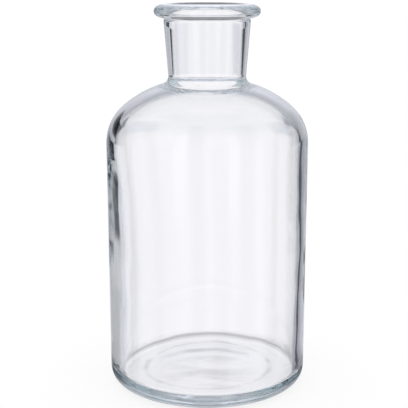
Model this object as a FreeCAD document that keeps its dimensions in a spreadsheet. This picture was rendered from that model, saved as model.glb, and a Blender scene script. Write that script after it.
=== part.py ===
import FreeCAD, Part
import math
import os

import Sketcher

# Driving dimensions of the bottle, in millimetres.
DIMENSIONS = {
    "total_height": 133.4,
    "shoulder_diameter": 70.0,
    "heel_diameter": 69.6,
    "heel_radius": 5.5,
    "shoulder_height": 86.4,
    "corner_radius": 16.3,
    "crown_radius": 38.6,
    "root_radius": 3.0,
    "root_height": 109.5,
    "neck_root_diameter": 26.8,
    "neck_top_diameter": 29.7,
    "collar_radius": 0.9,
    "groove_depth": 0.6,
    "lip_diameter": 36.4,
    "lip_height": 4.5,
    "lip_nose_radius": 1.8,
    "lip_face_radius": 4.2,
    "mouth_edge_radius": 1.6,
    "flare_height": 8.0,
    "flare_radius": 26.0,
    "wall": 3.2,
    "heel_wall": 3.8,
    "crown_wall": 2.4,
    "floor": 4.8,
    "inner_heel_radius": 1.6,
    "inner_root_height": 105.0,
    "inner_root_radius": 1.2,
    "bore_root_diameter": 22.8,
    "bore_top_diameter": 24.4,
    "push_up_diameter": 47.2,
    "push_up_depth": 0.6,
}

# Where the corner arc hands over to the crown arc, and where the crown ends, when a sketch is first drawn.
HANDOVER = math.radians(49)
CROWN_END = math.radians(72.5)

START, END, CENTRE = 1, 2, 3
ORIGIN = (-1, 1)
NORMAL = FreeCAD.Vector(0, 0, 1)

doc = FreeCAD.newDocument("reagent_bottle")
sheet = doc.addObject("Spreadsheet::Sheet", "size")
for row, (alias, value) in enumerate(DIMENSIONS.items(), 1):
    sheet.set(f"A{row}", alias)
    sheet.set(f"B{row}", str(value))
    sheet.setAlias(f"B{row}", alias)
doc.recompute()

bottle = doc.addObject("PartDesign::Body", "bottle")
bottle.Label = "bottle"
section_plane = next(plane for plane in bottle.Origin.OriginFeatures if plane.Role == "XZ_Plane")


def new_sketch(name):
    """A sketch on the bottle's section plane: x is the radius, y is the height."""
    sketch = bottle.newObject("Sketcher::SketchObject", name)
    sketch.AttachmentSupport = (section_plane, [""])
    sketch.MapMode = "FlatFace"
    return sketch


def add_line(sketch, start, end):
    segment = Part.LineSegment(FreeCAD.Vector(*start, 0), FreeCAD.Vector(*end, 0))
    return sketch.addGeometry(segment, False)


def add_arc(sketch, centre, radius, first, last):
    """An arc that runs anticlockwise from the angle first to the angle last."""
    circle = Part.Circle(FreeCAD.Vector(*centre, 0), NORMAL, radius)
    return sketch.addGeometry(Part.ArcOfCircle(circle, first, last), False)


def on_circle(centre, radius, angle):
    return centre[0] + radius * math.cos(angle), centre[1] + radius * math.sin(angle)


def bind(sketch, name, expression, kind, *where):
    """A dimension of the sketch that follows an expression of the sheet's cells."""
    value = sketch.evalExpression(expression)
    index = sketch.addConstraint(Sketcher.Constraint(kind, *where, value))
    sketch.renameConstraint(index, name)
    sketch.setExpression(f"Constraints.{name}", expression)


def place(sketch, name, geometry, point, radius, height):
    """Fixes a point of the section by its radius and its height."""
    bind(sketch, f"{name}_radius", radius, "DistanceX", *ORIGIN, geometry, point)
    bind(sketch, f"{name}_height", height, "DistanceY", *ORIGIN, geometry, point)


def join(sketch, first, first_point, second, second_point, kind="Tangent"):
    sketch.addConstraint(Sketcher.Constraint(kind, first, first_point, second, second_point))


def draw_run(sketch, size):
    """The run of curves that the outside and the cavity share, from the floor's middle up to the neck's top.

    A floor, a heel arc, the wall, a corner arc and a flatter crown arc for the shoulder, a hollow root fillet
    and a neck that widens upwards. size holds the sheet expression of each dimension.
    """
    at = {name: sketch.evalExpression(text) for name, text in size.items()}
    floor = at["floor_height"]
    heel, corner, crown, root = (at[name] for name in ("heel", "corner", "crown", "root"))
    heel_centre = (at["heel_wall_radius"] - heel, floor + heel)
    corner_centre = (at["wall_radius"] - corner, at["shoulder_height"])
    crown_centre = on_circle(corner_centre, corner - crown, HANDOVER)
    neck_start = (at["neck_root_radius"], at["root_height"])
    neck_end = (at["neck_top_radius"], at["neck_top_height"])
    root_centre = (neck_start[0] + root, neck_start[1])

    base = add_line(sketch, (0, floor), (heel_centre[0], floor))
    heel_arc = add_arc(sketch, heel_centre, heel, -math.pi / 2, 0)
    wall = add_line(sketch, on_circle(heel_centre, heel, 0), on_circle(corner_centre, corner, 0))
    corner_arc = add_arc(sketch, corner_centre, corner, 0, HANDOVER)
    crown_arc = add_arc(sketch, crown_centre, crown, HANDOVER, CROWN_END)
    root_arc = add_arc(sketch, root_centre, root, math.pi, math.pi + CROWN_END)
    neck = add_line(sketch, neck_start, neck_end)

    sketch.addConstraint(Sketcher.Constraint("Horizontal", base))
    sketch.addConstraint(Sketcher.Constraint("PointOnObject", base, START, -2))
    join(sketch, base, END, heel_arc, START)
    join(sketch, heel_arc, END, wall, START)
    join(sketch, wall, END, corner_arc, START)
    join(sketch, corner_arc, END, crown_arc, START)
    join(sketch, crown_arc, END, root_arc, END)
    join(sketch, root_arc, START, neck, START)

    if floor:
        bind(sketch, "floor_height", size["floor_height"], "DistanceY", *ORIGIN, base, START)
    else:
        sketch.addConstraint(Sketcher.Constraint("PointOnObject", base, START, -1))
    bind(sketch, "heel", size["heel"], "Radius", heel_arc)
    bind(sketch, "heel_wall_radius", size["heel_wall_radius"], "DistanceX", *ORIGIN, wall, START)
    place(sketch, "shoulder", wall, END, size["wall_radius"], size["shoulder_height"])
    bind(sketch, "corner", size["corner"], "Radius", corner_arc)
    bind(sketch, "crown", size["crown"], "Radius", crown_arc)
    bind(sketch, "root", size["root"], "Radius", root_arc)
    place(sketch, "neck_root", neck, START, size["neck_root_radius"], size["root_height"])
    place(sketch, "neck_top", neck, END, size["neck_top_radius"], size["neck_top_height"])
    return base, neck


def close_on_axis(sketch, base, top):
    """The line on the axis from the end of the top line down to the floor's middle."""
    upper = sketch.getPoint(top, END)
    lower = sketch.getPoint(base, START)
    axis = add_line(sketch, (upper.x, upper.y), (lower.x, lower.y))
    join(sketch, top, END, axis, START, "Coincident")
    join(sketch, axis, END, base, START, "Coincident")
    sketch.addConstraint(Sketcher.Constraint("Vertical", axis))


def turn(kind, name, sketch):
    """Turns a sketch a full circle about the bottle's axis, to add glass or to take it away."""
    feature = bottle.newObject(kind, name)
    feature.Profile = sketch
    feature.ReferenceAxis = (sketch, ["V_Axis"])
    feature.Angle = 360
    doc.recompute()
    return feature


# The blank: everything that the mould gives the outside, from the heel to the bead lip.
blank_sketch = new_sketch("blank_section")
blank_size = {
    "floor_height": "0",
    "heel": "size.heel_radius",
    "heel_wall_radius": "size.heel_diameter / 2",
    "wall_radius": "size.shoulder_diameter / 2",
    "shoulder_height": "size.shoulder_height",
    "corner": "size.corner_radius",
    "crown": "size.crown_radius",
    "root": "size.root_radius",
    "neck_root_radius": "size.neck_root_diameter / 2",
    "root_height": "size.root_height",
    "neck_top_radius": "size.neck_top_diameter / 2",
    "neck_top_height": "size.total_height - size.lip_height - size.collar_radius",
}
blank_base, blank_neck = draw_run(blank_sketch, blank_size)

# The neck's top rolls in to a shallow groove, and the bead lip swells out of it: a flat face, a tight nose and a
# second flat face that levels off at the lip's crest.
neck_end = blank_sketch.getPoint(blank_neck, END)
collar = sheet.collar_radius
nose = sheet.lip_nose_radius
face = sheet.lip_face_radius
lip_middle = sheet.total_height - sheet.lip_height / 2
nose_turn = math.asin((face - sheet.lip_height / 2) / (face - nose))
nose_centre = (sheet.lip_diameter / 2 - nose, lip_middle)
lower_centre = on_circle(nose_centre, nose - face, -nose_turn)
upper_centre = on_circle(nose_centre, nose - face, nose_turn)
collar_arc = add_arc(blank_sketch, (neck_end.x - collar, neck_end.y), collar, 0, math.radians(70))
lower_face = add_arc(blank_sketch, lower_centre, face, -math.radians(105), -nose_turn)
nose_arc = add_arc(blank_sketch, nose_centre, nose, -nose_turn, nose_turn)
upper_face = add_arc(blank_sketch, upper_centre, face, nose_turn, math.pi / 2)
lip_top = add_line(blank_sketch, on_circle(upper_centre, face, math.pi / 2), (0, sheet.total_height))
join(blank_sketch, blank_neck, END, collar_arc, START)
join(blank_sketch, collar_arc, END, lower_face, START, "Coincident")
join(blank_sketch, lower_face, END, nose_arc, START)
join(blank_sketch, nose_arc, END, upper_face, START)
join(blank_sketch, upper_face, END, lip_top, START)
blank_sketch.addConstraint(Sketcher.Constraint("Horizontal", lip_top))
blank_sketch.addConstraint(Sketcher.Constraint("Equal", lower_face, upper_face))
bind(blank_sketch, "collar", "size.collar_radius", "Radius", collar_arc)
bind(
    blank_sketch,
    "groove_radius",
    "size.neck_top_diameter / 2 - size.groove_depth",
    "DistanceX",
    *ORIGIN,
    collar_arc,
    END,
)
bind(blank_sketch, "nose", "size.lip_nose_radius", "Radius", nose_arc)
bind(blank_sketch, "face", "size.lip_face_radius", "Radius", upper_face)
place(
    blank_sketch,
    "nose_centre",
    nose_arc,
    CENTRE,
    "size.lip_diameter / 2 - size.lip_nose_radius",
    "size.total_height - size.lip_height / 2",
)
bind(blank_sketch, "lip_top", "size.total_height", "DistanceY", *ORIGIN, lip_top, START)
close_on_axis(blank_sketch, blank_base, lip_top)
blank = turn("PartDesign::Revolution", "blank", blank_sketch)

# The cavity: blown out to a wall that is thicker over the heel and thinner over the crown, with a thick floor and a
# bore that widens upwards to take a tapered stopper. Under the lip the bore flares into the mouth, whose edge is
# fire-polished round up to the lip's crest.
cavity_sketch = new_sketch("cavity_section")
cavity_size = {
    "floor_height": "size.floor",
    "heel": "size.inner_heel_radius",
    "heel_wall_radius": "size.heel_diameter / 2 - size.heel_wall",
    "wall_radius": "size.shoulder_diameter / 2 - size.wall",
    "shoulder_height": "size.shoulder_height",
    "corner": "size.corner_radius - size.wall",
    "crown": "size.crown_radius - size.crown_wall",
    "root": "size.inner_root_radius",
    "neck_root_radius": "size.bore_root_diameter / 2",
    "root_height": "size.inner_root_height",
    "neck_top_radius": "size.bore_top_diameter / 2",
    "neck_top_height": "size.total_height - size.flare_height",
}
cavity_base, bore = draw_run(cavity_sketch, cavity_size)
bore_top = cavity_sketch.getPoint(bore, END)
flare_centre = (bore_top.x + sheet.flare_radius, bore_top.y)
edge_radius = sheet.mouth_edge_radius
edge_turn = math.pi - math.asin((sheet.flare_height - edge_radius) / (sheet.flare_radius - edge_radius))
edge_centre = on_circle(flare_centre, sheet.flare_radius - edge_radius, edge_turn)
flare = add_arc(cavity_sketch, flare_centre, sheet.flare_radius, edge_turn, math.pi)
mouth_edge = add_arc(cavity_sketch, edge_centre, edge_radius, math.pi / 2, edge_turn)
crest = on_circle(edge_centre, edge_radius, math.pi / 2)
mouth = add_line(cavity_sketch, crest, (0, crest[1]))
join(cavity_sketch, bore, END, flare, END)
join(cavity_sketch, flare, START, mouth_edge, END)
join(cavity_sketch, mouth_edge, START, mouth, START)
cavity_sketch.addConstraint(Sketcher.Constraint("Horizontal", mouth))
bind(cavity_sketch, "mouth_edge", "size.mouth_edge_radius", "Radius", mouth_edge)
bind(cavity_sketch, "flare", "size.flare_radius", "Radius", flare)
bind(cavity_sketch, "crest_height", "size.total_height", "DistanceY", *ORIGIN, mouth, START)
close_on_axis(cavity_sketch, cavity_base, mouth)
cavity = turn("PartDesign::Groove", "cavity", cavity_sketch)

# The push-up: a low dome under the floor, so that the bottle stands on a ring.
push_up_sketch = new_sketch("push_up_section")
ring_radius = sheet.push_up_diameter / 2
rise = sheet.push_up_depth
dome_radius = (ring_radius**2 + rise**2) / (2 * rise)
dome_angle = math.acos(ring_radius / dome_radius)
foot = add_line(push_up_sketch, (0, 0), (ring_radius, 0))
dome = add_arc(push_up_sketch, (0, rise - dome_radius), dome_radius, dome_angle, math.pi / 2)
push_up_axis = add_line(push_up_sketch, (0, rise), (0, 0))
join(push_up_sketch, foot, START, *ORIGIN, "Coincident")
push_up_sketch.addConstraint(Sketcher.Constraint("Horizontal", foot))
join(push_up_sketch, foot, END, dome, START, "Coincident")
join(push_up_sketch, dome, END, push_up_axis, START, "Coincident")
join(push_up_sketch, push_up_axis, END, foot, START, "Coincident")
push_up_sketch.addConstraint(Sketcher.Constraint("PointOnObject", dome, CENTRE, -2))
push_up_sketch.addConstraint(Sketcher.Constraint("Vertical", push_up_axis))
bind(push_up_sketch, "ring_radius", "size.push_up_diameter / 2", "DistanceX", *ORIGIN, foot, END)
bind(push_up_sketch, "dome_height", "size.push_up_depth", "DistanceY", *ORIGIN, dome, END)
push_up = turn("PartDesign::Groove", "push_up", push_up_sketch)

bottle.Tip = push_up
doc.recompute()

# Each cut has to take glass away, and nothing may have failed.
stages = [blank, cavity, push_up]
for before, after in zip(stages, stages[1:]):
    if not after.Shape.Volume < before.Shape.Volume:
        raise RuntimeError(f"{after.Name} takes no glass away")
for sketch in (blank_sketch, cavity_sketch, push_up_sketch):
    if not sketch.FullyConstrained:
        raise RuntimeError(f"{sketch.Name} isn't fully constrained")
for item in doc.Objects:
    if "Invalid" in item.State or "Error" in item.State:
        raise RuntimeError(f"{item.Name} failed: {item.State}")
if bottle.Shape.isNull() or not bottle.Shape.isValid() or len(bottle.Shape.Solids) != 1:
    raise RuntimeError("the bottle isn't one valid solid")

os.makedirs("parts", exist_ok=True)
bottle.Shape.exportStep(f"parts/{bottle.Label}.step")
glass = bottle.Shape.Volume / 1000
brimful = (blank.Shape.Volume - cavity.Shape.Volume) / 1000
print(f"glass {glass:.1f} ml, brimful capacity {brimful:.0f} ml")
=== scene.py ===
import math

import bpy
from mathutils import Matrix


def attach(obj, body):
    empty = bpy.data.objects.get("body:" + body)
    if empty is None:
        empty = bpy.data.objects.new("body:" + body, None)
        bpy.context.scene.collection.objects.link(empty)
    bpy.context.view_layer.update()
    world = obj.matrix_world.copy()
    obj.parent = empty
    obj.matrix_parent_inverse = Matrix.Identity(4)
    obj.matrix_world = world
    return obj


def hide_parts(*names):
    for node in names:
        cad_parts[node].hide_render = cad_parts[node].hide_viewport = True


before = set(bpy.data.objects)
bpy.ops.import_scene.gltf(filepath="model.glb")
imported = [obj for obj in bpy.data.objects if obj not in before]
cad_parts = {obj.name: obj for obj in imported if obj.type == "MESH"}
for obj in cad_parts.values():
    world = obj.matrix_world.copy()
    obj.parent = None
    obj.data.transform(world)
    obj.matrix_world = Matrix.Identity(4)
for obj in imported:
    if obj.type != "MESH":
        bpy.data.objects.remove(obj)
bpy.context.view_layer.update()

# The bottle: one piece of clear soda-lime glass, blown in a mould. The mould gives it the ring foot, the
# round heel, the straight body, the domed shoulder, the tapered neck and the bead lip. Inside, nothing
# guides the glass: the cavity sits a little to one side, and its wall is gently wavy.
MM = 0.001
ARC_STEP, LEAST_ARC_STEPS = math.radians(5), 6
RUN_STEP, LEAST_RUN_STEPS = 1.2, 2


def arc(centre, radius, first, last):
    """Points on an arc from the angle first to the angle last, both ends included."""
    steps = max(LEAST_ARC_STEPS, math.ceil(abs(last - first) / ARC_STEP))
    angles = [first + (last - first) * i / steps for i in range(steps + 1)]
    return [(centre[0] + radius * math.cos(a), centre[1] + radius * math.sin(a)) for a in angles]


def straight(start, end):
    """Points on a straight run, both ends left out."""
    steps = max(LEAST_RUN_STEPS, math.ceil(math.dist(start, end) / RUN_STEP))
    return [
        (start[0] + (end[0] - start[0]) * i / steps, start[1] + (end[1] - start[1]) * i / steps)
        for i in range(1, steps)
    ]


def heading(start, end):
    return math.atan2(end[1] - start[1], end[0] - start[0])


def touching_centre(first, first_reach, second, second_reach):
    """The point on the inner side of two centres that lies at the given distance from each."""
    gap = math.dist(first, second)
    along = (first_reach**2 - second_reach**2 + gap**2) / (2 * gap)
    aside = math.sqrt(first_reach**2 - along**2)
    turn = heading(first, second)
    return (
        first[0] + along * math.cos(turn) - aside * math.sin(turn),
        first[1] + along * math.sin(turn) + aside * math.cos(turn),
    )


def wall_run(floor, heel, heel_wall, wall, shoulder, corner, crown, root, neck_root, neck_top):
    """The run that the outside and the cavity share, from the floor's edge up to the neck's top.

    A heel arc, the wall, a corner arc and a flatter crown arc for the shoulder, a hollow root and a
    tapered neck.
    """
    heel_centre = (heel_wall - heel, floor + heel)
    corner_centre = (wall - corner, shoulder)
    taper = math.atan2(neck_top[0] - neck_root[0], neck_top[1] - neck_root[1])
    root_centre = (neck_root[0] + root * math.cos(taper), neck_root[1] - root * math.sin(taper))
    crown_centre = touching_centre(corner_centre, crown - corner, root_centre, crown + root)
    handover = heading(crown_centre, corner_centre)
    crown_end = heading(crown_centre, root_centre)
    return (
        arc(heel_centre, heel, -math.pi / 2, 0)
        + straight((heel_wall, floor + heel), (wall, shoulder))
        + arc(corner_centre, corner, 0, handover)
        + arc(crown_centre, crown, handover, crown_end)[1:]
        + arc(root_centre, root, math.pi + crown_end, math.pi - taper)[1:]
        + straight(neck_root, neck_top)
    )


# Sizes of the section in millimetres: radius first, then height.
HEIGHT = 133.4
HEEL, HEEL_WALL, WALL, SHOULDER, CORNER, CROWN = 5.5, 34.8, 35.0, 86.4, 16.3, 38.6
NECK_ROOT, NECK_TOP, ROOT = (13.4, 109.5), (14.85, 128.0), 3.0
FLOOR, INNER_HEEL, INNER_HEEL_WALL, INNER_WALL = 4.8, 1.6, 31.0, 31.8
BORE_ROOT, BORE_TOP, INNER_ROOT, CROWN_THICKNESS = (11.4, 105.0), (12.2, 125.4), 1.2, 2.4
COLLAR, COLLAR_TURN, GROOVE_TURN = 0.9, math.radians(65), math.radians(98)
LIP_RADIUS, LIP_HEIGHT, NOSE, FACE = 18.2, 4.5, 1.8, 4.2
FLARE, MOUTH_EDGE = 26.0, 1.6
PUSH_UP, PUSH_UP_RISE = 23.6, 0.6

dome_radius = (PUSH_UP**2 + PUSH_UP_RISE**2) / (2 * PUSH_UP_RISE)
dome_edge = math.acos(PUSH_UP / dome_radius)
foot = arc((0, PUSH_UP_RISE - dome_radius), dome_radius, math.pi / 2, dome_edge)
foot += straight((PUSH_UP, 0), (HEEL_WALL - HEEL, 0))
outside = wall_run(0, HEEL, HEEL_WALL, WALL, SHOULDER, CORNER, CROWN, ROOT, NECK_ROOT, NECK_TOP)

# The lip is a bead with a flatter face above and below a tight nose, over the shallow groove of the neck's
# rolled top.
nose_turn = math.asin((FACE - LIP_HEIGHT / 2) / (FACE - NOSE))
nose_centre = (LIP_RADIUS - NOSE, HEIGHT - LIP_HEIGHT / 2)
face_radius = nose_centre[0] - (FACE - NOSE) * math.cos(nose_turn)
face_offset = (FACE - NOSE) * math.sin(nose_turn)
bore_taper = math.atan2(BORE_TOP[0] - BORE_ROOT[0], BORE_TOP[1] - BORE_ROOT[1])
flare_centre = (BORE_TOP[0] + FLARE * math.cos(bore_taper), BORE_TOP[1] - FLARE * math.sin(bore_taper))
edge_height = HEIGHT - MOUTH_EDGE
edge_turn = math.pi - math.asin((edge_height - flare_centre[1]) / (FLARE - MOUTH_EDGE))
edge_centre = (flare_centre[0] + (FLARE - MOUTH_EDGE) * math.cos(edge_turn), edge_height)
lip = (
    arc((NECK_TOP[0] - COLLAR, NECK_TOP[1]), COLLAR, 0, COLLAR_TURN)
    + arc((face_radius, nose_centre[1] + face_offset), FACE, -GROOVE_TURN, -nose_turn)
    + arc(nose_centre, NOSE, -nose_turn, nose_turn)[1:]
    + arc((face_radius, nose_centre[1] - face_offset), FACE, nose_turn, math.pi / 2)[1:]
    + arc(edge_centre, MOUTH_EDGE, math.pi / 2, edge_turn)
    + arc(flare_centre, FLARE, edge_turn, math.pi - bore_taper)[1:]
)
cavity = wall_run(
    FLOOR,
    INNER_HEEL,
    INNER_HEEL_WALL,
    INNER_WALL,
    SHOULDER,
    CORNER - (WALL - INNER_WALL),
    CROWN - CROWN_THICKNESS,
    INNER_ROOT,
    BORE_ROOT,
    BORE_TOP,
)
floor_inside = straight((INNER_HEEL_WALL - INNER_HEEL, FLOOR), (0, FLOOR)) + [(0, FLOOR)]
section = foot + outside + lip + cavity[::-1] + floor_inside
inside_from = len(foot) + len(outside) + len(lip)

profile = bpy.data.meshes.new("bottle_section")
profile.from_pydata(
    [(radius * MM, 0, height * MM) for radius, height in section],
    [(i, i + 1) for i in range(len(section) - 1)],
    [],
)
blown = profile.attributes.new("blown", "FLOAT", "POINT")
blown.data.foreach_set("value", [float(i >= inside_from) for i in range(len(section))])
bottle = bpy.data.objects.new("glass_bottle", profile)
bpy.context.scene.collection.objects.link(bottle)

# The glass has a cold cast where it is thick, and a fire-polished skin: slow waves all over, stronger ones
# at the heel, where the mould chilled it, and patches that are a touch less smooth. A pattern is given by its
# patches per metre, its detail and its stretch along the height.
BENDING = 1.5
COLD_CAST, CAST_DENSITY = (0.89, 0.94, 0.95), 10.0
PALEST, CLEAREST, TINT_PATTERN = (0.993, 0.995, 0.998), (1, 1, 1), (45, 2, 3)
DULLEST, DULL_RANGE, DULL_PATTERN = 0.02, (0.45, 0.8), (120, 3, 2)
WAVE_DEPTH, WAVE_STRENGTH, WAVE_PATTERN = 0.4, 0.09, (160, 1, 3)
HEEL_WAVES, HEEL_PATTERN, HEEL_TOP, HEEL_EDGE = 7.0, (130, 2, 0.7), (4, 13), (26, 31)


def add_node(tree, kind, settings=None, **inputs):
    """Adds a node to a tree: its settings, then its inputs, each a plain value or another node's output.

    An input goes by its name, with _ for a space, or by its number after a _.
    """
    node = tree.nodes.new(kind)
    for name, value in (settings or {}).items():
        setattr(node, name, value)
    for name, value in inputs.items():
        socket = node.inputs[int(name[1:]) if name[0] == "_" else name.replace("_", " ")]
        if isinstance(value, bpy.types.NodeSocket):
            tree.links.new(value, socket)
        else:
            socket.default_value = value
    return node


def reckon(tree, operation, first, second=0.0, third=0.0):
    """The result of a sum on up to three values."""
    node = add_node(tree, "ShaderNodeMath", {"operation": operation}, _0=first, _1=second, _2=third)
    return node.outputs[0]


def vector(tree, operation, **inputs):
    return add_node(tree, "ShaderNodeVectorMath", {"operation": operation}, **inputs).outputs


def between(tree, value, start, end, low=0.0, high=1.0, interpolation="SMOOTHSTEP"):
    """Low up to start, high from end on, and in between from one to the other."""
    settings = {"interpolation_type": interpolation}
    limits = {"From_Min": start, "From_Max": end, "To_Min": low, "To_Max": high}
    return add_node(tree, "ShaderNodeMapRange", settings, Value=value, **limits).outputs["Result"]


def rise(tree, value, limits, low=0.0, high=1.0):
    """Low up to the first of two limits in millimetres and high from the second on, eased between."""
    return between(tree, value, limits[0] * MM, limits[1] * MM, low, high)


def blend(tree, share, below, above):
    """One colour laid over another by a share."""
    colours = [value if isinstance(value, bpy.types.NodeSocket) else (*value, 1) for value in (below, above)]
    settings = {"data_type": "RGBA"}
    return add_node(tree, "ShaderNodeMix", settings, _0=share, _6=colours[0], _7=colours[1]).outputs[2]


clear_glass = bpy.data.materials.new("clear_glass")
clear_glass.use_nodes = True
glass = clear_glass.node_tree
glass.nodes.clear()
glass_place = add_node(glass, "ShaderNodeTexCoord").outputs["Object"]


def glass_noise(scale, detail, stretch):
    """Noise on the bottle's own coordinates, scale in patches per metre, stretched along the height."""
    drawn_out = add_node(glass, "ShaderNodeMapping", Vector=glass_place, Scale=(1, 1, 1 / stretch)).outputs[0]
    return add_node(glass, "ShaderNodeTexNoise", Vector=drawn_out, Scale=scale, Detail=detail).outputs["Fac"]


glass_level = add_node(glass, "ShaderNodeSeparateXYZ", Vector=glass_place).outputs["Z"]
glass_flat = vector(glass, "MULTIPLY", _0=glass_place, _1=(1, 1, 0))[0]
glass_reach = vector(glass, "LENGTH", _0=glass_flat)["Value"]
low_down = rise(glass, glass_level, HEEL_TOP, HEEL_WAVES, 0.0)
near_heel = reckon(glass, "MULTIPLY", low_down, rise(glass, glass_reach, HEEL_EDGE))
heel_noise = glass_noise(*HEEL_PATTERN)
wave_height = reckon(glass, "MULTIPLY_ADD", heel_noise, near_heel, glass_noise(*WAVE_PATTERN))
waves = add_node(
    glass,
    "ShaderNodeBump",
    Strength=WAVE_STRENGTH,
    Distance=WAVE_DEPTH * MM,
    Height=wave_height,
)
skin = add_node(
    glass,
    "ShaderNodeBsdfPrincipled",
    Base_Color=blend(glass, glass_noise(*TINT_PATTERN), PALEST, CLEAREST),
    Roughness=between(glass, glass_noise(*DULL_PATTERN), *DULL_RANGE, 0.0, DULLEST, "LINEAR"),
    IOR=BENDING,
    Transmission_Weight=1.0,
    Normal=waves.outputs["Normal"],
)
cast = add_node(glass, "ShaderNodeVolumeAbsorption", Color=(*COLD_CAST, 1), Density=CAST_DENSITY)
add_node(glass, "ShaderNodeOutputMaterial", Surface=skin.outputs["BSDF"], Volume=cast.outputs["Volume"])

# The lathe turns the section about the axis, then lets the cavity lean and ripple as blown glass does. The
# heavy side grows slowly from the floor up, and thins out again below the shoulder.
TURNS, SEAM = 240, 1e-6
RIPPLE_DEPTH, RIPPLE_SCALE, RIPPLE_DETAIL = 0.3, 50.0, 1.0
WALL_RIPPLE_FOOT, WALL_RIPPLE_TOP = (7, 16), (80, 96)
FLOOR_RIPPLE, FLOOR_RIPPLE_TOP, FLOOR_RIPPLE_EDGE = 1.2, (4.9, 5.6), (24, 29)
HEAVY_SIDE, HEAVY_FOOT, HEAVY_EDGE = 1.6, (-25, 46), (18, 29)
HEAVY_END, HEAVY_FALL, FALL_END_ROUNDING, FALL_START_ROUNDING = 82, 27, 0.3, 0.6
lathe = bpy.data.node_groups.new("turned_glass", "GeometryNodeTree")
lathe.interface.new_socket("Section", in_out="INPUT", socket_type="NodeSocketGeometry")
lathe_inputs = {
    name: lathe.interface.new_socket(name, in_out="INPUT", socket_type=f"NodeSocket{kind}")
    for name, kind in (
        ("Turns", "Int"),
        ("Ripple Depth", "Float"),
        ("Ripple Scale", "Float"),
        ("Heavy Side", "Float"),
        ("Glass", "Material"),
    )
}
lathe.interface.new_socket("Bottle", in_out="OUTPUT", socket_type="NodeSocketGeometry")


def step(kind, settings=None, **inputs):
    """The first output of a new node of the lathe."""
    return add_node(lathe, kind, settings, **inputs).outputs[0]


def from_section(value, data_type):
    """A value of the section's point that belongs to this row of the turned mesh."""
    settings = {"data_type": data_type, "domain": "POINT"}
    return step("GeometryNodeSampleIndex", settings, Geometry=given["Section"], Value=value, Index=row)


def product(*factors):
    total = factors[0]
    for factor in factors[1:]:
        total = reckon(lathe, "MULTIPLY", total, factor)
    return total


given = lathe.nodes.new("NodeGroupInput").outputs
rows = add_node(lathe, "GeometryNodeAttributeDomainSize", Geometry=given["Section"]).outputs["Point Count"]
columns = reckon(lathe, "ADD", given["Turns"], 1)
index = step("GeometryNodeInputIndex")
row = reckon(lathe, "FLOOR", reckon(lathe, "DIVIDE", index, columns))
part_turn = reckon(lathe, "DIVIDE", reckon(lathe, "MODULO", index, columns), given["Turns"])
section_place = from_section(step("GeometryNodeInputPosition"), "FLOAT_VECTOR")
inner = from_section(step("GeometryNodeInputNamedAttribute", {"data_type": "FLOAT"}, Name="blown"), "FLOAT")
spun = step(
    "ShaderNodeVectorRotate",
    {"rotation_type": "Z_AXIS"},
    Vector=section_place,
    Angle=reckon(lathe, "MULTIPLY", part_turn, 2 * math.pi),
)
level = add_node(lathe, "ShaderNodeSeparateXYZ", Vector=spun).outputs["Z"]
flat = vector(lathe, "MULTIPLY", _0=spun, _1=(1, 1, 0))[0]
outward = vector(lathe, "NORMALIZE", _0=flat)[0]
reach = vector(lathe, "LENGTH", _0=flat)["Value"]
noise = step("ShaderNodeTexNoise", Vector=spun, Scale=given["Ripple Scale"], Detail=RIPPLE_DETAIL)
ripple = product(reckon(lathe, "SUBTRACT", noise, 0.5), given["Ripple Depth"], inner)
wall_ripple = product(
    ripple,
    rise(lathe, level, WALL_RIPPLE_FOOT),
    rise(lathe, level, WALL_RIPPLE_TOP, 1.0, 0.0),
)
floor_ripple = product(
    ripple,
    FLOOR_RIPPLE,
    rise(lathe, level, FLOOR_RIPPLE_TOP, 1.0, 0.0),
    rise(lathe, reach, FLOOR_RIPPLE_EDGE, 1.0, 0.0),
)
leftward = reckon(lathe, "MULTIPLY_ADD", step("ShaderNodeSeparateXYZ", Vector=outward), -0.5, 0.5)
heavy_fall = reckon(lathe, "MULTIPLY_ADD", level, -1 / (HEAVY_FALL * MM), HEAVY_END / HEAVY_FALL)
heavy_fall = reckon(lathe, "SMOOTH_MAX", heavy_fall, 0.0, FALL_END_ROUNDING)
heavy_fall = reckon(lathe, "SMOOTH_MIN", heavy_fall, 1.0, FALL_START_ROUNDING)
heavy_heights = product(rise(lathe, level, HEAVY_FOOT), heavy_fall, rise(lathe, reach, HEAVY_EDGE))
heavy = product(given["Heavy Side"], leftward, heavy_heights, inner)
push = vector(lathe, "SCALE", _0=outward, Scale=reckon(lathe, "SUBTRACT", wall_ripple, heavy))[0]
shift = vector(lathe, "ADD", _0=push, _1=step("ShaderNodeCombineXYZ", Z=floor_ripple))[0]
settled = vector(lathe, "ADD", _0=spun, _1=shift)[0]
grid = step("GeometryNodeMeshGrid", Vertices_X=rows, Vertices_Y=columns)
faced = step("GeometryNodeFlipFaces", Mesh=grid)
turned = step("GeometryNodeSetPosition", Geometry=faced, Position=settled)
closed = step("GeometryNodeMergeByDistance", Geometry=turned, Distance=SEAM)
smooth = step("GeometryNodeSetShadeSmooth", Geometry=closed)
real = step("GeometryNodeRealizeInstances", Geometry=smooth)
dressed = step("GeometryNodeSetMaterial", Geometry=real, Material=given["Glass"])
add_node(lathe, "NodeGroupOutput", Bottle=dressed)

maker = bottle.modifiers.new("turned", "NODES")
maker.node_group = lathe
for name, value in (
    ("Turns", TURNS),
    ("Ripple Depth", RIPPLE_DEPTH * MM),
    ("Ripple Scale", RIPPLE_SCALE),
    ("Heavy Side", HEAVY_SIDE * MM),
    ("Glass", clear_glass),
):
    maker[lathe_inputs[name].identifier] = value
blown_bottle = bottle.evaluated_get(bpy.context.evaluated_depsgraph_get())
bottle_mesh = bpy.data.meshes.new_from_object(blown_bottle)
bottle.modifiers.remove(maker)
bottle.data = bottle_mesh
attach(bottle, "root")
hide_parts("bottle")

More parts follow.
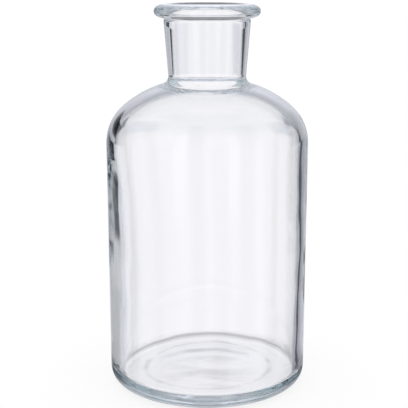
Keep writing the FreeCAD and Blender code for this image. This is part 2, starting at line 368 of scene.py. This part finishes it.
# The floor: a plain pale table top, which isn't part of the object. It carries the bottle's soft shadow.
# Seen only through the glass, the table also has painted shade: a painted shadow ring where the round heel
# nears the table, a painted dark line at the rim of the hollow under the foot, and patchy painted shade
# inside that rim.
FLOOR_SPAN, FLOOR_DROP = 6.0, 0.1
# The table's grey and glow, and the darkest colour of the painted shade that the glass sees on it.
TABLE_GREY, TABLE_GLOW, DARKEST_PAINTED_SHADE = (0.19, 0.19, 0.19), 0.83, (0.1, 0.11, 0.12)
MARK_SPAN = 100
# How the patchy painted shade under the foot is stretched, its patches per metre and its detail.
SHADE_PATCH_WIDTH, SHADE_PATCH_SCALE, SHADE_PATCH_DETAIL = 0.45, 110.0, 4.0
floor_mesh = bpy.data.meshes.new("floor")
floor_mesh.from_pydata(
    [(x * FLOOR_SPAN, y * FLOOR_SPAN, -FLOOR_DROP * MM) for x, y in ((-1, -1), (1, -1), (1, 1), (-1, 1))],
    [],
    [(0, 1, 2, 3)],
)
floor = bpy.data.objects.new("floor", floor_mesh)
bpy.context.scene.collection.objects.link(floor)
pale = bpy.data.materials.new("pale_floor")
pale.use_nodes = True
table = pale.node_tree
table.nodes.clear()
table_place = add_node(table, "ShaderNodeTexCoord").outputs["Object"]
# Noise that breaks the painted shade under the foot into patches.
shade_patch_place = add_node(table, "ShaderNodeMapping", Vector=table_place, Scale=(SHADE_PATCH_WIDTH, 1, 1)).outputs[0]
shade_patches = add_node(
    table,
    "ShaderNodeTexNoise",
    Vector=shade_patch_place,
    Scale=SHADE_PATCH_SCALE,
    Detail=SHADE_PATCH_DETAIL,
).outputs["Fac"]


def shade_ramp(tree, place, stops):
    """Colours along a value from 0 to 1; each stop is a place and a colour."""
    ramp = add_node(tree, "ShaderNodeValToRGB", Fac=place)
    marks = ramp.color_ramp.elements
    marks.remove(marks[1])
    for i, (position, colour) in enumerate(stops):
        mark = marks[0] if i == 0 else marks.new(position)
        mark.position = position
        mark.color = (*colour, 1)
    return ramp.outputs["Color"]


def painted_table_shade(middle, stops):
    """Painted shade on the table: its share by the distance from a middle behind the bottle's axis, or before
    it if negative.

    Lengths are in millimetres.
    """
    aside = vector(table, "DISTANCE", _0=table_place, _1=(0, middle * MM, 0))["Value"]
    place = between(table, aside, 0.0, MARK_SPAN * MM, interpolation="LINEAR")
    return shade_ramp(table, place, [(radius / MARK_SPAN, (share,) * 3) for radius, share in stops])


def in_shade_patches(mark, low, high, most):
    """A painted shade times the patch noise, whose noise from low to high gives shares from 0 up to the most.
    """
    return reckon(table, "MULTIPLY", mark, between(table, shade_patches, low, high, 0.0, most, "LINEAR"))


# Painted shadow: a dark ring on the table round the heel, centred a little before the axis so that it falls
# to the front.
painted_heel_shadow = painted_table_shade(
    -5,
    ((0, 0), (35.5, 0), (38, 0.18), (41, 0.3), (44.5, 0.5), (47, 0.5), (50, 0.28), (54, 0.08), (58, 0)),
)
# Painted shade: a thin dark line on the table at the rim of the hollow under the foot.
painted_rim_shade = painted_table_shade(3.4, ((0, 0), (21.4, 0), (22.8, 0.34), (24.4, 0)))
# Painted shade: patches inside the rim of the hollow, full in the middle and fading outwards.
hollow = painted_table_shade(-5, ((0, 1), (9, 1), (19, 0)))
# Painted shade under the foot: the rim's line and the hollow's patches, each broken up by the patch noise.
painted_shade_under_foot = reckon(
    table,
    "MAXIMUM",
    in_shade_patches(painted_rim_shade, low=0.35, high=0.62, most=1.0),
    in_shade_patches(hollow, low=0.42, high=0.68, most=0.29),
)
# The painted shade's share: the darker of the heel's painted shadow and the painted shade under the foot.
painted_shade_share = reckon(table, "MAXIMUM", painted_heel_shadow, painted_shade_under_foot)
lit = add_node(table, "ShaderNodeBsdfDiffuse", Color=(*TABLE_GREY, 1)).outputs[0]
glow = add_node(table, "ShaderNodeEmission", Strength=TABLE_GLOW).outputs[0]
plain_table = add_node(table, "ShaderNodeAddShader", _0=lit, _1=glow).outputs[0]
# Rays that come through or off the glass see the table open, with the painted shade as a dim glow over it.
open_table = add_node(table, "ShaderNodeBsdfTransparent").outputs[0]
painted_shade_glow = add_node(table, "ShaderNodeEmission", Color=(*DARKEST_PAINTED_SHADE, 1)).outputs[0]
table_with_painted_shade = add_node(table, "ShaderNodeMixShader", _0=painted_shade_share, _1=open_table, _2=painted_shade_glow).outputs[0]
floor_rays = add_node(table, "ShaderNodeLightPath").outputs
to_glass = reckon(table, "MAXIMUM", floor_rays["Is Glossy Ray"], floor_rays["Is Transmission Ray"])
shown = add_node(table, "ShaderNodeMixShader", _0=to_glass, _1=plain_table, _2=table_with_painted_shade).outputs[0]
add_node(table, "ShaderNodeOutputMaterial", Surface=shown)
floor_mesh.materials.append(pale)

# The studio: a white room to the camera and the floor, and to the glass a bright backdrop between dark cards,
# because clear glass shows itself only by what it bends into view. The cards stand close by, so light that
# took another way through the glass meets another part of the room.
WHITE = (1.01, 1.0, 1.02)
BRIGHT = (1.02, 1.01, 1.03)
PALE = (0.95, 0.955, 0.98)
SHADE = (0.005, 0.012, 0.012)
DUSK = (0.08, 0.09, 0.11)
MAUVE = (0.31, 0.32, 0.38)
LILAC = (0.66, 0.60, 0.76)
CEILING = (0.22, 0.24, 0.26)
COLD_GREY = (0.98, 1.0, 1.09)
ALL_ROUND, UP_AND_DOWN = 360, 180
studio = bpy.data.worlds.new("studio")
bpy.context.scene.world = studio
studio.use_nodes = True
sky = studio.node_tree
sky.nodes.clear()
look = add_node(sky, "ShaderNodeTexCoord").outputs["Generated"]
axes = add_node(sky, "ShaderNodeSeparateXYZ", Vector=look).outputs
bearing = reckon(sky, "DEGREES", reckon(sky, "ARCTAN2", axes["X"], axes["Y"]))
height = reckon(sky, "DEGREES", reckon(sky, "ARCSINE", axes["Z"]))


def ease(value, start, end):
    """0 before start and 1 after end, eased between. Start may be the larger of the two."""
    return between(sky, value, min(start, end), max(start, end), float(start > end), float(start < end))


def strip(angle, span, stops):
    """Shades that follow a bearing or a height in degrees; the span is the full range of that angle.

    A shade is a colour, or a number for a cold grey.
    """
    place = reckon(sky, "MULTIPLY_ADD", angle, 1 / span, 0.5)
    shades = [
        (degrees / span + 0.5, shade if isinstance(shade, tuple) else [shade * part for part in COLD_GREY])
        for degrees, shade in stops
    ]
    return shade_ramp(sky, place, shades)


def card(middle, half, soft, low, low_soft, high, high_soft):
    """How far a card fills a direction, by its middle bearing, half its width, its lower and its upper edge.

    All are in degrees, and each edge has its own softness.
    """
    away = reckon(sky, "WRAP", reckon(sky, "SUBTRACT", bearing, middle), 180.0, -180.0)
    wide = ease(reckon(sky, "ABSOLUTE", away), half + soft, half)
    tall = reckon(sky, "MULTIPLY", ease(height, low - low_soft, low), ease(height, high + high_soft, high))
    return reckon(sky, "MULTIPLY", wide, tall)


def layered(base, *layers):
    """Layers laid over a base one after another; each is how far it covers and its shade."""
    for share, shade in layers:
        base = blend(sky, share, base, shade)
    return base


# Straight through the bottle: the white backdrop, dimmer higher up, with cards at its sides.
GREY_CARD, PALE_RIGHT, PALE_LEFT = (0.45, 0.45, 0.49), (0.80, 0.82, 0.86), (0.88, 0.895, 0.94)
backdrop = (
    *((-90, WHITE), (-9, WHITE), (-5, PALE), (-1.6, PALE), (0.5, BRIGHT), (9, BRIGHT)),
    *((16, 0.66), (26, 0.5), (50, CEILING)),
)
straight_through = layered(
    strip(height, UP_AND_DOWN, backdrop),
    (card(middle=-27, half=8, soft=3, low=0, low_soft=1.5, high=7, high_soft=3), SHADE),
    (card(middle=30, half=14, soft=4, low=0, low_soft=1.5, high=10, high_soft=4), GREY_CARD),
    (card(middle=14.5, half=3, soft=4, low=-6, low_soft=1.5, high=-1, high_soft=1), PALE_RIGHT),
    (card(middle=-12, half=5, soft=3, low=-6, low_soft=1.5, high=-1, high_soft=1), PALE_LEFT),
)

# Through solid glass, as in the lip: table and ceiling change places.
turned_over = (
    *((-90, 0.6), (-55, 0.5), (-46, 0.2), (-36, 0.2), (-28, 0.75), (-22, 1.0), (-8, 0.9)),
    *((2, 0.6), (10, 0.32), (22, 0.30), (32, 0.15), (60, CEILING)),
)
through_bead = strip(height, UP_AND_DOWN, turned_over)

# Along the inside of a wall: what stands to both sides. The neck sees other cards than the body, and the same
# room behind the camera.
LOW_LEFT, LOW_RIGHT, MIDDLE_CARD = (0.62, 0.64, 0.65), (0.6, 0.6, 0.64), (0.47, 0.50, 0.54)
UPPER_WALL, TABLE_BESIDE = (0.40, 0.42, 0.46), (0.85, 0.86, 0.9)
behind_left = (
    *((-180, LILAC), (-142, 0.5), (-132, DUSK), (-116, DUSK)),
    *((-108, 0.75), (-84, 0.75), (-80, DUSK)),
)
behind_right = (
    *((84, 0.6), (92, DUSK), (104, DUSK), (112, 0.75)),
    *((152, 0.75), (160, DUSK), (172, DUSK), (180, LILAC)),
)
beside_body = (
    *((-70, DUSK), (-64, 0.75), (-46, 0.75), (-43, 0.62), (-39.5, SHADE), (-21, SHADE), (-14, 0.4)),
    *((-6, 0.8), (8, 0.95), (16, 0.62), (21, 0.48), (26, MAUVE), (34.5, MAUVE), (36.5, SHADE)),
    *((41.5, SHADE), (43.5, 0.45), (54, 0.4)),
)
beside_neck = (
    *((-46, SHADE), (-43, 0.62), (-30, 0.5), (-20, 0.62), (-8, 0.8), (8, 0.85), (16, 0.7)),
    *((26, 0.5), (34, 0.4), (39, 0.36), (42, SHADE), (62, DUSK)),
)
beside = layered(
    strip(bearing, ALL_ROUND, (*behind_left, *beside_body, *behind_right)),
    (ease(height, -6.2, -4.8), strip(bearing, ALL_ROUND, (*behind_left, *beside_neck, *behind_right))),
    (card(middle=-25, half=17, soft=2, low=-18.2, low_soft=2.4, high=-15.6, high_soft=0.6), LOW_LEFT),
    (card(middle=0, half=4, soft=3, low=-12, low_soft=2, high=14, high_soft=4), MIDDLE_CARD),
    (card(middle=36, half=12, soft=3, low=-90, low_soft=1, high=-22.8, high_soft=1), LOW_RIGHT),
    (card(middle=-34, half=9, soft=8, low=1, low_soft=3, high=11, high_soft=2), SHADE),
    (ease(height, 12, 30), UPPER_WALL),
    (ease(height, 35, 65), CEILING),
    (ease(height, -32, -42), TABLE_BESIDE),
)

# Off the skin of the glass: the room in front, with two tall windows, over the pale table.
WINDOW, TABLE_IN_FRONT, UPPER_ROOM = (1.3, 1.3, 1.35), (0.9, 0.9, 0.92), (0.45, 0.45, 0.5)
in_front = (
    *((-180, LILAC), (-120, LILAC), (-80, 0.5), (-58, 0.3), (-50, 0.05), (-28, 0.05), (-18, 0.45)),
    *((0, 0.9), (18, 0.5), (30, 0.3), (60, 0.3), (80, 0.5), (120, LILAC), (180, LILAC)),
)
off_skin = layered(
    strip(bearing, ALL_ROUND, in_front),
    (ease(height, -20, -40), TABLE_IN_FRONT),
    (ease(height, 25, 60), UPPER_ROOM),
    (card(middle=149, half=5, soft=3, low=-12, low_soft=4, high=40, high_soft=5), WINDOW),
    (card(middle=-149, half=5, soft=3, low=-12, low_soft=4, high=40, high_soft=5), WINDOW),
)

# Light that was mirrored ran along a wall, or came off the skin where it never entered the glass. Of the
# rest, light that went in and out only once crossed solid glass.
sky_rays = add_node(sky, "ShaderNodeLightPath").outputs
mirrored = reckon(sky, "MINIMUM", sky_rays["Glossy Depth"], 1.0)
entered = reckon(sky, "MINIMUM", sky_rays["Transmission Depth"], 1.0)
in_and_out_once = reckon(sky, "LESS_THAN", sky_rays["Transmission Depth"], 3.0)
unmirrored = blend(sky, in_and_out_once, straight_through, through_bead)
seen_in_glass = blend(sky, mirrored, unmirrored, blend(sky, entered, off_skin, beside))
by_glass = reckon(sky, "MAXIMUM", sky_rays["Is Glossy Ray"], sky_rays["Is Transmission Ray"])
by_glass = reckon(sky, "MULTIPLY", by_glass, reckon(sky, "SUBTRACT", 1.0, sky_rays["Is Camera Ray"]))
light = add_node(sky, "ShaderNodeBackground", Color=blend(sky, by_glass, (1.0, 1.0, 1.0), seen_in_glass))
add_node(sky, "ShaderNodeOutputWorld", Surface=light.outputs[0])

# Light passes many faces in thick glass, so its paths are long.
paths = bpy.context.scene.cycles
paths.max_bounces = 96
paths.transmission_bounces = 64
paths.glossy_bounces = 64

# The camera: in front of the bottle and a little above it, looking down on it.
# Its place in millimetres, its tilt in degrees and its lens give the photograph's angle and frame.
CAMERA_BACK, CAMERA_UP, TILT = 373.5, 150.9, 13.1
PIXELS, FOCAL_PIXELS, SIDE_PIXELS = 408, 1086.6, -3.2
SENSOR, NEAREST = 36, 10
camera_lens = bpy.data.cameras.new("camera")
camera_lens.sensor_width = SENSOR
camera_lens.lens = SENSOR * FOCAL_PIXELS / PIXELS
camera_lens.shift_x = SIDE_PIXELS / PIXELS
camera_lens.clip_start = NEAREST * MM
camera = bpy.data.objects.new("camera", camera_lens)
camera.location = (0, -CAMERA_BACK * MM, CAMERA_UP * MM)
camera.rotation_euler = (math.radians(90 - TILT), 0, 0)
bpy.context.scene.collection.objects.link(camera)
bpy.context.scene.camera = camera
bpy.context.scene.view_settings.view_transform = "Standard"
